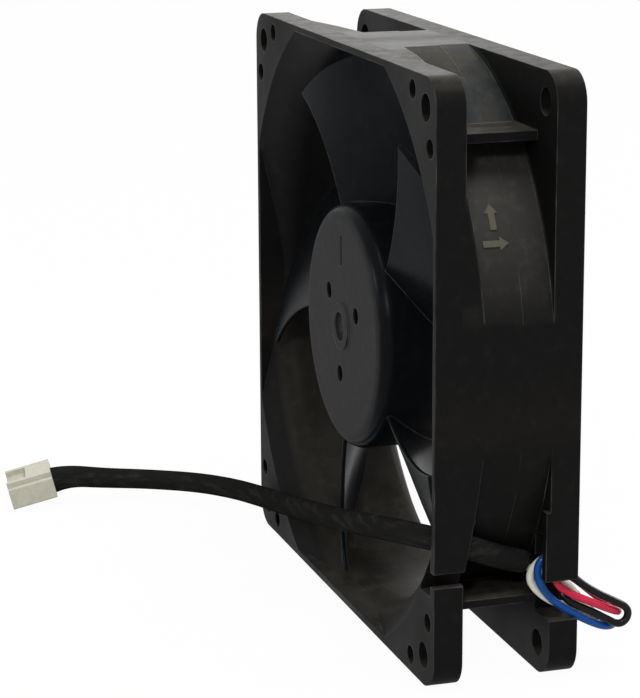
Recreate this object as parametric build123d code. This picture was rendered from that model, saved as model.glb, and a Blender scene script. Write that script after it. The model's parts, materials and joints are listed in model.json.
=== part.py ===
from build123d import *
import math
import os

# An axial cooling fan, 100 mm square and 25 mm deep, standing on one edge.
# The fan itself is drawn face-on: x to the right, y up, z out of the inlet.
# It is stood upright at the end: x stays, y becomes Z, z becomes -Y.
# The origin is the middle of the edge that it stands on.

# Frame
SIDE = 100.0
DEPTH = 25.0
FLANGE_T = 5.0
CORNER_R = 5.0
HOLE_PITCH = 90.0
HOLE_D = 4.5
POCKET_D = 3.2
POCKET_DEPTH = 1.2
POCKET_INSET = 2.64
POCKET_ANGLE = 5.5
BORE_INSET = 1.8
DUCT_WALL = 2.8
RIM_T = 1.1
INLET_FLARE = 6.7
INLET_FLARE_DEPTH = 8.0
OUTLET_FLARE = 5.6
OUTLET_FLARE_DEPTH = 4.4
BELL_FLARE = 10.6
BELL_BACK_DEPTH = 8.3
PARTING_DEPTH = 14.8
PARTING_STEP = 0.15

# Ribs in the right-hand channel
UPPER_RIB_Y = 40.0
UPPER_RIB_T = 1.6
UPPER_RIB_INSET = 8.0
SHELF_Y = -36.0
SHELF_T = 1.4
SHELF_INSET = 3.7

# Cable passages in the right-hand side
FRONT_GAP_LOW = -32.1
FRONT_GAP_HIGH = -29.7
FRONT_POCKET_W = 4.7
FRONT_POCKET_LOW = -34.0
FRONT_POCKET_HIGH = -22.4
SLOT_WALL = 1.6
REAR_SLOT_W = 4.8
REAR_SLOT_LOW = -39.8
REAR_SLOT_HIGH = -26.0
REAR_MOUTH_HIGH = -33.0
REAR_INNER_W = 2.7
REAR_INNER_LOW = -36.4
REAR_INNER_HIGH = -30.2
HOOK_TOP = -21.2
HOOK_BOTTOM = -33.0
HOOK_RAISE = 0.7

# Raised direction arrows on the duct
ARROW_LENGTH = 4.4
ARROW_WIDTH = 2.3
ARROW_SHAFT = 1.1
ARROW_HEAD = 1.6
ARROW_RAISE = 0.35
TURN_ARROW_ANGLE = 31.5
FLOW_ARROW_ANGLE = 26.5
ARROW_DEPTH = 11.6

# Rear struts and motor base
STRUT_COUNT = 3
STRUT_ANGLE = -32.5
STRUT_W = 3.6
STRUT_T = 3.6
WIRE_STRUT_W = 5.6
WIRE_STRUT_T = 4.2
WIRE_GROOVE_W = 3.6
WIRE_GROOVE_T = 3.0
JOINT_W = 1.3
JOINT_L = 0.8
JOINT_OFFSET = 0.72
LOWER_JOINT_R = 17.39
LOWER_JOINT_T = 1.55
UPPER_JOINT_R = 16.19
UPPER_JOINT_T = 2.95
BASE_R = 21.4
BASE_T = 3.0
BASE_WINDOW_R = 15.2
BOSS_R = 5.6
BOSS_HEIGHT = 4.6
BASE_CAP_T = 0.8

# Shaft and bearings
SHAFT_R = 1.5
BEARING_OUTER_R = 4.0
BEARING_T = 3.0
RACE_T = 0.8
BALL_R = 0.68
BALL_COUNT = 7
BALL_FIT = 0.02
CAGE_T = 0.5
CAGE_W = 1.9
BEARING_TUBE_R = 4.6
FRONT_BEARING_DEPTH = 6.6
REAR_BEARING_HEIGHT = 3.6
SHAFT_TAIL = 1.5
CLIP_R = 2.6
CLIP_T = 0.4
CLIP_FIT = 0.05

# Rotor
HUB_R = 21.6
HUB_WALL = 1.5
HUB_FACE_T = 1.5
HUB_FACE_RECESS = 0.6
HUB_ROUND = 2.7
HUB_SKIRT_GAP = 2.6
CUP_SKIRT_GAP = 0.6
CUP_T = 1.0
MAGNET_T = 2.2
MAGNET_FRONT_GAP = 1.6
HUB_FIT = 0.05
RING_R = 4.2
RING_HEIGHT = 0.35
RING_GROOVE_R = 2.6
RING_FLOOR = 0.4
CENTRE_DOT_R = 1.0
CENTRE_DOT_HEIGHT = 0.25
SHAFT_SEAT = 0.5
FACE_HOLE_D = 3.1
FACE_HOLE_RING_R = 8.7
FACE_HOLE_COUNT = 3
FACE_HOLE_ANGLE = 24.0
TICK_IN = 10.8
TICK_OUT = 16.2
TICK_W = 0.8
TICK_DEPTH = 0.5
BUSH_R = 3.4
BUSH_LENGTH = 2.4

# Blades
BLADE_COUNT = 5
TIP_GAP = 1.0
LE_ROOT_ANGLE = 38.0
LE_SWEEP = 15.6
LE_BOW = -1.3
LE_ROOT_DEPTH = 3.4
LE_TIP_DEPTH = 1.7
TE_ROOT_HEIGHT = 5.8
TE_TIP_HEIGHT = 11.0
ROOT_SPAN = 44.5
TIP_SPAN = 38.0
BLADE_ROOT_T = 2.5
BLADE_TIP_T = 1.3
ROOT_CAMBER = 0.03
TIP_CAMBER = 0.05
BLADE_EDGE_T = 0.8
TIP_CORNER_IN = 3.4
TIP_CORNER_DEPTH = 5.5

# Stator
STATOR_GAP = 0.4
POLE_COUNT = 4
POLE_RIM_T = 1.6
POLE_SPAN = 66.0
POLE_NECK_W = 5.0
STATOR_RING_R = 7.0
STATOR_TOP_DEPTH = 8.4
STATOR_HEIGHT = 9.6
INSULATOR_T = 1.0
COIL_T = 2.6
COIL_FIT = 0.15
STATOR_ANGLE = 12.0

# Circuit board
BOARD_R = 18.6
BOARD_T = 1.0
BOARD_GAP = 0.2
BOARD_HOLE_FIT = 0.2
BOARD_NOTCH_COUNT = 3
BOARD_NOTCH_ANGLE = 100.0
BOARD_NOTCH_R = 1.2
CHIP_L = 4.9
CHIP_W = 3.9
CHIP_T = 1.3
CHIP_RING_R = 12.2
CHIP_ANGLE = 199.0
SENSOR_L = 3.0
SENSOR_W = 1.6
SENSOR_T = 1.1
SENSOR_RING_R = 15.9
SENSOR_ANGLE = 79.0
CAPACITOR_R = 1.6
CAPACITOR_T = 2.2
CAPACITOR_RING_R = 12.4
CAPACITOR_ANGLE = 136.6
PART_FIT = 0.02

# Cable
WIRE_D = 1.3
SLEEVE_D = 4.0
PLUG_W = 10.5
PLUG_T = 4.4
PLUG_L = 9.0
PLUG_WALL = 0.8
PLUG_POLES = 4
PLUG_PITCH = 2.5
PLUG_CAVITY = 1.5
PLUG_RIDGE_T = 1.0
PLUG_RIDGE_L = 5.0
CONTACT_W = 1.3
CONTACT_L = 6.5

HALF = SIDE / 2
FRONT = DEPTH / 2
BACK = -DEPTH / 2
BORE_R = HALF - BORE_INSET
INLET_FLARE_R = BORE_R + INLET_FLARE
OUTLET_FLARE_R = BORE_R + OUTLET_FLARE
BELL_OUTER_R = BORE_R + BELL_FLARE
DUCT_R = BORE_R + DUCT_WALL
POCKET_RING_R = HOLE_PITCH / math.sqrt(2) - POCKET_INSET
TIP_R = BORE_R - TIP_GAP
RIM_HALF = HALF - RIM_T
SLOT_WALL_IN = HALF - SLOT_WALL
FRONT_POCKET_IN = SLOT_WALL_IN - FRONT_POCKET_W
REAR_SLOT_IN = SLOT_WALL_IN - REAR_SLOT_W
REAR_INNER_IN = REAR_SLOT_IN - REAR_INNER_W
CHANNEL_FRONT = FRONT - FLANGE_T
CHANNEL_BACK = BACK + FLANGE_T
HUB_FACE = FRONT - HUB_FACE_RECESS
SHAFT_TOP = HUB_FACE - HUB_FACE_T + SHAFT_SEAT
CUP_R = HUB_R - HUB_WALL - HUB_FIT
CUP_TOP = HUB_FACE - HUB_FACE_T - HUB_FIT
MAGNET_OUT = CUP_R - CUP_T - HUB_FIT
MAGNET_IN = MAGNET_OUT - MAGNET_T
STATOR_R = MAGNET_IN - STATOR_GAP
BASE_TOP = BACK + BASE_T
SKIRT = BASE_TOP + HUB_SKIRT_GAP
CUP_LOW = SKIRT + CUP_SKIRT_GAP
BOARD_LOW = BASE_TOP + BOARD_GAP
BOARD_TOP = BOARD_LOW + BOARD_T
LAMINATION_T = DEPTH - STATOR_TOP_DEPTH - STATOR_HEIGHT
REAR_BEARING_LOW = BACK + REAR_BEARING_HEIGHT
REAR_BEARING_DEPTH = FRONT - REAR_BEARING_LOW - BEARING_T


def at_depth(depth):
    """z of a level that lies this far behind the inlet face"""
    return FRONT - depth


def ring(outer, inner, low, high):
    solid = Pos(0, 0, low) * Cylinder(outer, high - low, align=FROM_BELOW)
    return solid - Pos(0, 0, low - 1) * Cylinder(inner, high - low + 2, align=FROM_BELOW)


def disc(radius, low, high):
    return Pos(0, 0, low) * Cylinder(radius, high - low, align=FROM_BELOW)


def block(x0, x1, y0, y1, z0, z1):
    middle = Pos((x0 + x1) / 2, (y0 + y1) / 2, (z0 + z1) / 2)
    return middle * Box(x1 - x0, y1 - y0, z1 - z0)


def polar(radius, angle, z=0.0):
    turn = math.radians(angle)
    return (radius * math.cos(turn), radius * math.sin(turn), z)


FROM_BELOW = (Align.CENTER, Align.CENTER, Align.MIN)


def flange_plate(low, high):
    outline = RectangleRounded(SIDE, SIDE, CORNER_R)
    plate = Pos(0, 0, low) * extrude(outline, high - low)
    return plate


def flare(radius, depth, face, direction):
    """Trumpet mouth: widens from the bore to its radius at the face, then is cut straight by the rim"""
    inner = face - direction * depth
    beyond = face + direction
    curve = Spline((BORE_R, inner), (radius, face), tangents=[(0, direction), (0.8, 0.6 * direction)])
    outline = Line((0, inner), (BORE_R, inner)) + curve
    outline += Polyline((radius, face), (radius, beyond), (0, beyond), (0, inner))
    profile = Plane.XZ * make_face(outline)
    mouth = revolve(profile, Axis.Z, 360)
    rim = Box(2 * RIM_HALF, 2 * RIM_HALF, 4 * DEPTH)
    return mouth & rim


def corner_points():
    half = HOLE_PITCH / 2
    return [(sx * half, sy * half) for sx in (-1, 1) for sy in (-1, 1)]


def pocket_points():
    points = []
    for quarter in range(4):
        for side in (-1, 1):
            angle = 45 + 90 * quarter + side * POCKET_ANGLE
            points.append(polar(POCKET_RING_R, angle)[:2])
    return points


def arrow(length, width, shaft, head):
    """Flat arrow pointing along +x, centred on the origin"""
    tip = length / 2
    neck = tip - head
    outline = Polyline(
        (-tip, -shaft / 2), (neck, -shaft / 2), (neck, -width / 2), (tip, 0),
        (neck, width / 2), (neck, shaft / 2), (-tip, shaft / 2), close=True,
    )
    return make_face(outline)


def raised_arrow(angle, along_flow):
    """Arrow standing proud of the duct: along the flow, or the way that the rotor turns"""
    x, y, z = polar(DUCT_R - 1, angle, at_depth(ARROW_DEPTH))
    outward = (math.cos(math.radians(angle)), math.sin(math.radians(angle)), 0)
    pointing = (0, 0, -1) if along_flow else (-outward[1], outward[0], 0)
    seat = Plane(origin=(x, y, z), x_dir=pointing, z_dir=outward)
    shape = extrude(arrow(ARROW_LENGTH, ARROW_WIDTH, ARROW_SHAFT, ARROW_HEAD), 2)
    return (seat * shape) & disc(DUCT_R + ARROW_RAISE, BACK, FRONT)


def wire_strut_box(width, inner, outer, low, high):
    """Bar along the wire strut's direction, from one radius to another"""
    length = outer - inner
    bar = Pos(inner + length / 2, 0, (low + high) / 2) * Box(length, width, high - low)
    return Rot(0, 0, STRUT_ANGLE) * bar


def frame_housing():
    body = flange_plate(CHANNEL_FRONT, FRONT) + flange_plate(BACK, CHANNEL_BACK)
    square = Box(SIDE, SIDE, DEPTH)
    duct = disc(DUCT_R, BACK, FRONT) + disc(DUCT_R + PARTING_STEP, at_depth(PARTING_DEPTH), FRONT)
    bell = Pos(0, 0, at_depth(BELL_BACK_DEPTH)) * Cone(
        DUCT_R, BELL_OUTER_R, BELL_BACK_DEPTH - FLANGE_T + 0.01, align=FROM_BELOW)
    body += (duct & square) + (bell & square)
    rib_low = UPPER_RIB_Y - UPPER_RIB_T
    body += block(0, HALF - UPPER_RIB_INSET, rib_low, UPPER_RIB_Y, CHANNEL_BACK, CHANNEL_FRONT)
    body += block(0, HALF - SHELF_INSET, SHELF_Y - SHELF_T, SHELF_Y, CHANNEL_BACK, CHANNEL_FRONT)
    body += block(SLOT_WALL_IN, HALF, HOOK_BOTTOM, HOOK_TOP, CHANNEL_BACK, CHANNEL_BACK + HOOK_RAISE)
    body += raised_arrow(TURN_ARROW_ANGLE, along_flow=False)
    body += raised_arrow(FLOW_ARROW_ANGLE, along_flow=True)

    body -= disc(BORE_R, BACK - 1, FRONT + 1)
    body -= flare(INLET_FLARE_R, INLET_FLARE_DEPTH, FRONT, 1)
    body -= flare(OUTLET_FLARE_R, OUTLET_FLARE_DEPTH, BACK, -1)
    for x, y in corner_points():
        body -= Pos(x, y) * Cylinder(HOLE_D / 2, DEPTH + 2)
    for x, y in pocket_points():
        body -= Pos(x, y, FRONT - POCKET_DEPTH) * Cylinder(POCKET_D / 2, POCKET_DEPTH + 1, align=FROM_BELOW)

    for index in range(STRUT_COUNT):
        width = WIRE_STRUT_W if index == 0 else STRUT_W
        height = WIRE_STRUT_T if index == 0 else STRUT_T
        bar = block(BASE_R - 1, DUCT_R - 1, -width / 2, width / 2, BACK, BACK + height)
        body += (Rot(0, 0, STRUT_ANGLE + 360 / STRUT_COUNT * index) * bar) & square
    body += disc(BASE_R, BACK, BASE_TOP)
    body += disc(BOSS_R, BACK, BACK + BOSS_HEIGHT)
    body -= disc(BEARING_TUBE_R, BACK + BASE_CAP_T, FRONT)

    groove_top = BACK + WIRE_GROOVE_T
    body -= wire_strut_box(WIRE_GROOVE_W, BASE_WINDOW_R, DUCT_R + 3, BACK - 1, groove_top)
    body -= wire_strut_box(WIRE_GROOVE_W, BASE_WINDOW_R, BASE_WINDOW_R + 4, BACK - 1, BASE_TOP + 2)

    front_low = at_depth(BELL_BACK_DEPTH) - 0.2
    body -= block(FRONT_POCKET_IN, SLOT_WALL_IN, FRONT_POCKET_LOW, FRONT_POCKET_HIGH, front_low, FRONT + 1)
    body -= block(SLOT_WALL_IN - 1, HALF + 1, FRONT_GAP_LOW, FRONT_GAP_HIGH, front_low, FRONT + 1)
    rear_high = CHANNEL_BACK + HOOK_RAISE + 0.1
    body -= block(REAR_SLOT_IN, SLOT_WALL_IN, REAR_SLOT_LOW, REAR_SLOT_HIGH, BACK - 1, rear_high)
    body -= block(SLOT_WALL_IN - 1, HALF + 1, REAR_SLOT_LOW, REAR_MOUTH_HIGH, BACK - 1, rear_high)
    body -= block(REAR_INNER_IN, REAR_SLOT_IN + 1, REAR_INNER_LOW, REAR_INNER_HIGH, BACK - 1, rear_high)
    return body


def bearing(front_depth):
    """Outer race, inner race and the balls in their cage, front face at this depth"""
    high = at_depth(front_depth)
    low = high - BEARING_T
    middle = (high + low) / 2
    pitch_r = (SHAFT_R + BEARING_OUTER_R) / 2
    track = Pos(0, 0, middle) * Torus(pitch_r, BALL_R + BALL_FIT)
    outer = ring(BEARING_OUTER_R, BEARING_OUTER_R - RACE_T, low, high) - track
    inner = ring(SHAFT_R + RACE_T, SHAFT_R, low, high) - track
    cage = ring(pitch_r + CAGE_T / 2, pitch_r - CAGE_T / 2, middle - CAGE_W / 2, middle + CAGE_W / 2)
    balls = []
    for index in range(BALL_COUNT):
        x, y, _ = polar(pitch_r, 360 / BALL_COUNT * index)
        balls.append(Pos(x, y, middle) * Sphere(BALL_R))
        pocket = Pos(pitch_r, 0, middle) * Rot(0, 90, 0) * Cylinder(BALL_R + BALL_FIT, RACE_T)
        cage -= Rot(0, 0, 360 / BALL_COUNT * index) * pocket
    return outer, inner, Compound(list(cage.solids()) + balls)


def bearing_tube():
    low = BACK + BASE_CAP_T + HUB_FIT
    high = at_depth(FRONT_BEARING_DEPTH - 0.3)
    tube = disc(BEARING_TUBE_R - HUB_FIT, low, high)
    tube -= disc(BEARING_OUTER_R + 0.01, low + 0.5, high + 1)
    shoulder = ring(BEARING_OUTER_R + 0.01, BEARING_OUTER_R - RACE_T,
                    REAR_BEARING_LOW + BEARING_T, at_depth(FRONT_BEARING_DEPTH) - BEARING_T)
    return tube + shoulder


def blade_section(radius):
    """Closed outline of the blade where its leading and trailing edges lie at this radius"""
    share = (radius - HUB_R) / (TIP_R - HUB_R)
    leading = LE_ROOT_ANGLE + LE_SWEEP * share + 4 * LE_BOW * share * (1 - share)
    span = ROOT_SPAN + (TIP_SPAN - ROOT_SPAN) * share
    half = math.radians(span / 2)
    z_lead = at_depth(LE_ROOT_DEPTH + (LE_TIP_DEPTH - LE_ROOT_DEPTH) * share)
    z_trail = BACK + TE_ROOT_HEIGHT + (TE_TIP_HEIGHT - TE_ROOT_HEIGHT) * share
    camber = ROOT_CAMBER + (TIP_CAMBER - ROOT_CAMBER) * share
    thick = BLADE_ROOT_T + (BLADE_TIP_T - BLADE_ROOT_T) * share
    middle = leading - span / 2
    out = polar(1, middle)
    plane = Plane(origin=polar(radius * math.cos(half), middle), x_dir=(-out[1], out[0], 0), z_dir=out)
    lead = Vector(radius * math.sin(half), z_lead)
    trail = Vector(-radius * math.sin(half), z_trail)
    if abs((plane.y_dir - Vector(0, 0, 1)).length) > 0.01:
        lead = Vector(lead.X, -lead.Y)
        trail = Vector(trail.X, -trail.Y)
    chord = lead - trail
    along = chord.normalized()
    upward = Vector(-along.Y, along.X)
    if (plane.to_local_coords(Vector(0, 0, DEPTH)) - plane.to_local_coords(Vector(0, 0, 0))).dot(upward) < 0:
        upward = upward * -1
    bulge = (lead + trail) * 0.5 + upward * (camber * chord.length)
    edge = upward * (BLADE_EDGE_T / 2)
    belly = upward * (thick / 2)
    nose = along * (BLADE_EDGE_T / 2)
    outline = [
        ThreePointArc(trail + edge, bulge + belly, lead + edge),
        ThreePointArc(lead + edge, lead + nose, lead - edge),
        ThreePointArc(lead - edge, bulge - belly, trail - edge),
        ThreePointArc(trail - edge, trail - nose, trail + edge),
    ]
    return plane * make_face(outline)


def blade():
    """One blade, cut to the tip circle and rounded where its leading edge meets the tip"""
    span = TIP_R - HUB_R
    inner = HUB_R - HUB_WALL / 2
    radii = [HUB_R + share * span for share in (-0.04, 0.35, 0.7, 1.04, 1.27)]
    body = loft([blade_section(radius) for radius in radii])
    corner_low = at_depth(LE_TIP_DEPTH + TIP_CORNER_DEPTH)
    corner = Spline((TIP_R, corner_low), (TIP_R - TIP_CORNER_IN, FRONT), tangents=[(0, 1), (-0.9, 0.6)])
    outline = Polyline((inner, FRONT), (inner, BACK), (TIP_R, BACK), (TIP_R, corner_low)) + corner
    outline += Line((TIP_R - TIP_CORNER_IN, FRONT), (inner, FRONT))
    keep = revolve(Plane.XZ * make_face(outline), Axis.Z, 360)
    return body & keep


def impeller():
    profile = Plane.XZ * make_face(Polyline(
        (0, HUB_FACE - HUB_FACE_T), (HUB_R - HUB_WALL, HUB_FACE - HUB_FACE_T), (HUB_R - HUB_WALL, SKIRT),
        (HUB_R, SKIRT), (HUB_R, HUB_FACE), (0, HUB_FACE), close=True))
    hub = revolve(profile, Axis.Z, 360)
    shoulder = hub.edges().filter_by(GeomType.CIRCLE).filter_by(
        lambda edge: abs(edge.radius - HUB_R) < 0.01 and abs(edge.center().Z - HUB_FACE) < 0.01)
    hub = fillet(shoulder, HUB_ROUND)
    floor = HUB_FACE - RING_FLOOR
    hub += ring(RING_R, RING_GROOVE_R, floor, HUB_FACE + RING_HEIGHT)
    hub -= disc(RING_GROOVE_R, floor, HUB_FACE + 1)
    hub += disc(CENTRE_DOT_R, floor, floor + CENTRE_DOT_HEIGHT)
    hub -= disc(SHAFT_R, HUB_FACE - HUB_FACE_T - 1, SHAFT_TOP)
    for index in range(FACE_HOLE_COUNT):
        x, y, _ = polar(FACE_HOLE_RING_R, FACE_HOLE_ANGLE + 360 / FACE_HOLE_COUNT * index)
        hub -= Pos(x, y, CUP_TOP) * Cylinder(FACE_HOLE_D / 2, 8)
    hub -= block(-TICK_W / 2, TICK_W / 2, TICK_IN, TICK_OUT, HUB_FACE - TICK_DEPTH, HUB_FACE + 1)
    one = blade()
    for index in range(BLADE_COUNT):
        hub += Rot(0, 0, 360 / BLADE_COUNT * index) * one
    return hub


def rotor_cup():
    cup = disc(CUP_R, CUP_LOW, CUP_TOP) - disc(CUP_R - CUP_T, CUP_LOW - 1, CUP_TOP - CUP_T)
    cup -= disc(BUSH_R, 0, FRONT)
    for index in range(FACE_HOLE_COUNT):
        x, y, _ = polar(FACE_HOLE_RING_R, FACE_HOLE_ANGLE + 360 / FACE_HOLE_COUNT * index)
        cup -= Pos(x, y, CUP_TOP) * Cylinder(FACE_HOLE_D / 2, 4)
    return cup


def magnet_ring():
    return ring(MAGNET_OUT, MAGNET_IN, CUP_LOW, CUP_TOP - CUP_T - MAGNET_FRONT_GAP)


def shaft_bush():
    high = CUP_TOP
    return ring(BUSH_R, SHAFT_R, high - BUSH_LENGTH, high)


def shaft():
    body = disc(SHAFT_R, REAR_BEARING_LOW - SHAFT_TAIL, SHAFT_TOP)
    groove = ring(SHAFT_R + 1, SHAFT_R - 0.35, clip_low() - CLIP_FIT, clip_low() + CLIP_T + CLIP_FIT)
    return body - groove


def clip_low():
    return REAR_BEARING_LOW - CLIP_T - CLIP_FIT


def retaining_clip():
    washer = ring(CLIP_R, SHAFT_R - 0.3, clip_low(), clip_low() + CLIP_T)
    mouth = block(0, CLIP_R + 1, -0.6, 0.6, clip_low() - 1, clip_low() + 1)
    return washer - mouth


def preload_spring():
    """Coil spring between the bush and the front bearing's inner race"""
    low = at_depth(FRONT_BEARING_DEPTH) + 0.05
    high = CUP_TOP - BUSH_LENGTH - 0.05
    wire_r = 0.2
    path = Helix((high - low - 2 * wire_r) / 2.5, high - low - 2 * wire_r, SHAFT_R + 0.35)
    path = Pos(0, 0, low + wire_r) * path
    section = Plane(origin=path @ 0, z_dir=path % 0) * Circle(wire_r)
    return sweep(section, path)


def stator_outline(shrink):
    core = Circle(STATOR_RING_R)
    outer = Circle(STATOR_R - shrink) - Circle(STATOR_R - POLE_RIM_T)
    for index in range(POLE_COUNT):
        angle = 360 / POLE_COUNT * index
        wedge = make_face(Polyline(
            (0, 0), polar(2 * STATOR_R, angle - POLE_SPAN / 2)[:2], polar(3 * STATOR_R, angle)[:2],
            polar(2 * STATOR_R, angle + POLE_SPAN / 2)[:2], close=True))
        core += outer & wedge
        core += Rot(0, 0, angle) * Pos(STATOR_R / 2, 0) * Rectangle(STATOR_R - POLE_RIM_T, POLE_NECK_W)
    return Rot(0, 0, STATOR_ANGLE) * (core - Circle(BEARING_TUBE_R + HUB_FIT))


def stator_core():
    return Pos(0, 0, at_depth(STATOR_TOP_DEPTH) - LAMINATION_T) * extrude(stator_outline(0), LAMINATION_T)


def insulator(low):
    return Pos(0, 0, low) * extrude(stator_outline(0.5), INSULATOR_T)


def stator_coil(index):
    """Winding round one pole's neck"""
    inner_w = POLE_NECK_W + 2 * COIL_FIT
    inner_h = LAMINATION_T + 2 * INSULATOR_T + 2 * COIL_FIT
    start = STATOR_RING_R + 0.6
    half_w = inner_w / 2 + COIL_T
    end = math.sqrt((STATOR_R - POLE_RIM_T) ** 2 - half_w ** 2) - COIL_FIT
    winding = RectangleRounded(inner_w + 2 * COIL_T, inner_h + 2 * COIL_T / 2, COIL_T / 2.5)
    winding -= Rectangle(inner_w, inner_h)
    middle = at_depth(STATOR_TOP_DEPTH) - LAMINATION_T / 2
    coil = Plane.YZ * winding
    coil = extrude(coil, end - start)
    return Rot(0, 0, STATOR_ANGLE + 360 / POLE_COUNT * index) * Pos(start, 0, middle) * coil


def circuit_board():
    board = ring(BOARD_R, BOSS_R + BOARD_HOLE_FIT, BOARD_LOW, BOARD_TOP)
    for index in range(BOARD_NOTCH_COUNT):
        x, y, _ = polar(BOARD_R, BOARD_NOTCH_ANGLE + 360 / BOARD_NOTCH_COUNT * index)
        board -= Pos(x, y, BOARD_LOW) * Cylinder(BOARD_NOTCH_R, 4 * BOARD_T)
    return board


def solder_joints():
    """Where the four leads meet the board: two low joints and two tall ones, in the strut's window"""
    joints = []
    for radius, height in ((LOWER_JOINT_R, LOWER_JOINT_T), (UPPER_JOINT_R, UPPER_JOINT_T)):
        for side in (-1, 1):
            middle = side * JOINT_OFFSET
            low = BOARD_LOW - height
            right, left = middle - JOINT_W / 2, middle + JOINT_W / 2
            joint = block(radius - JOINT_L, radius, right, left, low, BOARD_LOW)
            joints.append(Rot(0, 0, STRUT_ANGLE) * joint)
    return Compound(joints)


def board_part(radius, angle, turn, shape, height):
    """Part standing on the board, this far from the shaft and turned by this much"""
    return Pos(*polar(radius, angle, BOARD_TOP + PART_FIT + height / 2)) * Rot(0, 0, turn) * shape


def upright(solid):
    """From the face-on drawing to the standing fan"""
    return Pos(0, 0, HALF) * Rot(90, 0, 0) * solid


def cord(points, diameter, name):
    """Tube along straight runs joined by tangent arcs, as large as the runs allow"""
    corners = [Vector(*point) for point in points]
    radii = []
    for before, corner, after in zip(corners, corners[1:], corners[2:]):
        turn = (corner - before).get_angle(after - corner)
        run = min((corner - before).length, (after - corner).length)
        radii.append(0.45 * run / math.tan(math.radians(turn / 2)))
    path = FilletPolyline(*corners, radius=radii)
    section = Plane(origin=path @ 0, z_dir=path % 0) * Circle(diameter / 2)
    tube = sweep(section, path)
    share = tube.volume / (math.pi * diameter ** 2 / 4 * path.length)
    print(name, "radii", [round(radius, 1) for radius in radii], "volume share", round(share, 4))
    return tube


# Routes of the leads, in millimetres, on the standing fan.
# Each starts at the circuit board, follows the grooved strut to the corner behind the frame's hook,
# comes forward into the channel or straight out of the mouth, bows out behind the fan and comes back
# to the sleeve.
BLUE_ROUTE = [
    (15.06, 10.20, 41.26), (24.91, 10.20, 35.13), (34.93, 10.20, 28.53), (43.91, 10.20, 22.88),
    (47.10, 9.50, 21.20), (47.20, 6.80, 20.00), (47.40, 6.20, 17.40), (47.90, 7.80, 14.10),
    (48.60, 11.20, 11.40), (48.90, 15.10, 9.45), (48.50, 18.43, 7.98), (46.95, 21.53, 7.64),
    (44.02, 21.30, 8.05), (42.29, 18.30, 9.49), (42.08, 13.98, 13.61), (41.79, 8.94, 16.65),
    (42.59, 5.05, 18.02),
]
WHITE_ROUTE = [
    (14.29, 10.20, 40.04), (24.14, 10.20, 33.91), (34.16, 10.20, 27.31), (43.13, 10.20, 21.67),
    (45.70, 9.30, 20.40), (45.80, 6.60, 18.90), (45.90, 5.40, 16.70), (46.20, 7.20, 15.10),
    (46.90, 10.60, 12.90), (47.40, 15.00, 10.50), (47.39, 18.32, 8.78), (46.34, 20.41, 8.56),
    (44.88, 20.30, 8.76), (43.61, 18.10, 9.82), (43.42, 14.00, 13.73), (43.13, 9.07, 16.70),
    (43.90, 5.32, 18.02),
]
RED_ROUTE = [
    (14.05, 11.60, 41.90), (24.91, 11.60, 35.13), (34.93, 11.60, 28.53), (43.91, 11.60, 22.88),
    (46.70, 11.10, 21.00), (47.20, 9.60, 18.30), (47.90, 9.90, 15.40), (48.70, 13.20, 12.50),
    (49.10, 15.60, 10.85), (49.21, 18.88, 9.02), (47.46, 22.39, 8.64), (43.92, 22.10, 9.14),
    (42.19, 19.10, 10.58), (41.98, 14.80, 14.67), (41.68, 9.51, 17.86), (42.50, 5.48, 19.28),
]
BLACK_ROUTE = [
    (13.28, 11.60, 40.69), (24.14, 11.60, 33.91), (34.16, 11.60, 27.31), (43.13, 11.60, 21.67),
    (45.30, 11.60, 19.90), (46.90, 11.60, 17.90), (48.00, 12.60, 15.90), (47.90, 15.60, 12.90),
    (48.10, 18.77, 9.82), (46.85, 21.27, 9.56), (44.78, 21.10, 9.85), (43.51, 18.90, 10.91),
    (43.32, 14.82, 14.79), (43.02, 9.64, 17.91), (43.81, 5.75, 19.28),
]
SLEEVE_ROUTE = [
    (43.20, 5.40, 18.65), (44.10, 1.00, 20.20), (45.75, -3.60, 22.40), (46.35, -8.00, 24.20),
    (45.40, -11.80, 25.20), (38.50, -14.30, 24.40), (26.00, -15.20, 21.70), (10.00, -15.60, 18.00),
    (-7.00, -15.50, 14.30), (-24.00, -15.40, 10.70), (-40.00, -15.50, 7.60), (-53.00, -17.40, 5.60),
    (-62.50, -22.30, 4.60), (-69.20, -31.00, 4.20), (-71.40, -39.50, 4.60), (-71.75, -46.70, 5.65),
    (-72.20, -49.60, 4.90),
]
PLUG_AXIS = (Vector(*SLEEVE_ROUTE[-1]) - Vector(*SLEEVE_ROUTE[-2])).normalized()
PLUG_ACROSS = Vector(0.987, -0.163, 0)


def plug_plane():
    return Plane(origin=SLEEVE_ROUTE[-1], x_dir=PLUG_ACROSS, z_dir=PLUG_AXIS)


def pole_offsets():
    return [(index - (PLUG_POLES - 1) / 2) * PLUG_PITCH for index in range(PLUG_POLES)]


def connector_housing():
    body = extrude(RectangleRounded(PLUG_W, PLUG_T, 0.4), PLUG_L)
    ridge_y = PLUG_T / 2 + PLUG_RIDGE_T / 2 - 0.3
    for side in (-1, 1):
        x = side * (PLUG_W / 2 - 1.2)
        body += Pos(x, ridge_y, PLUG_L / 2) * Box(1.2, PLUG_RIDGE_T + 0.6, PLUG_L)
    body += Pos(0, ridge_y, PLUG_RIDGE_L / 2) * Box(PLUG_W - 2.4, PLUG_RIDGE_T + 0.6, PLUG_RIDGE_L)
    for x in pole_offsets():
        body -= Pos(x, 0, PLUG_L / 2 + PLUG_WALL) * Box(PLUG_CAVITY, PLUG_CAVITY, PLUG_L)
    return plug_plane() * body


def connector_contacts():
    pins = []
    for x in pole_offsets():
        outer = Pos(x, 0, PLUG_WALL + 0.1 + CONTACT_L / 2) * Box(CONTACT_W, CONTACT_W, CONTACT_L)
        bore = Pos(x, 0, PLUG_WALL + 1 + CONTACT_L / 2) * Box(CONTACT_W - 0.5, CONTACT_W - 0.5, CONTACT_L)
        pins.append(outer - bore)
    return plug_plane() * Compound(pins)


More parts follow.
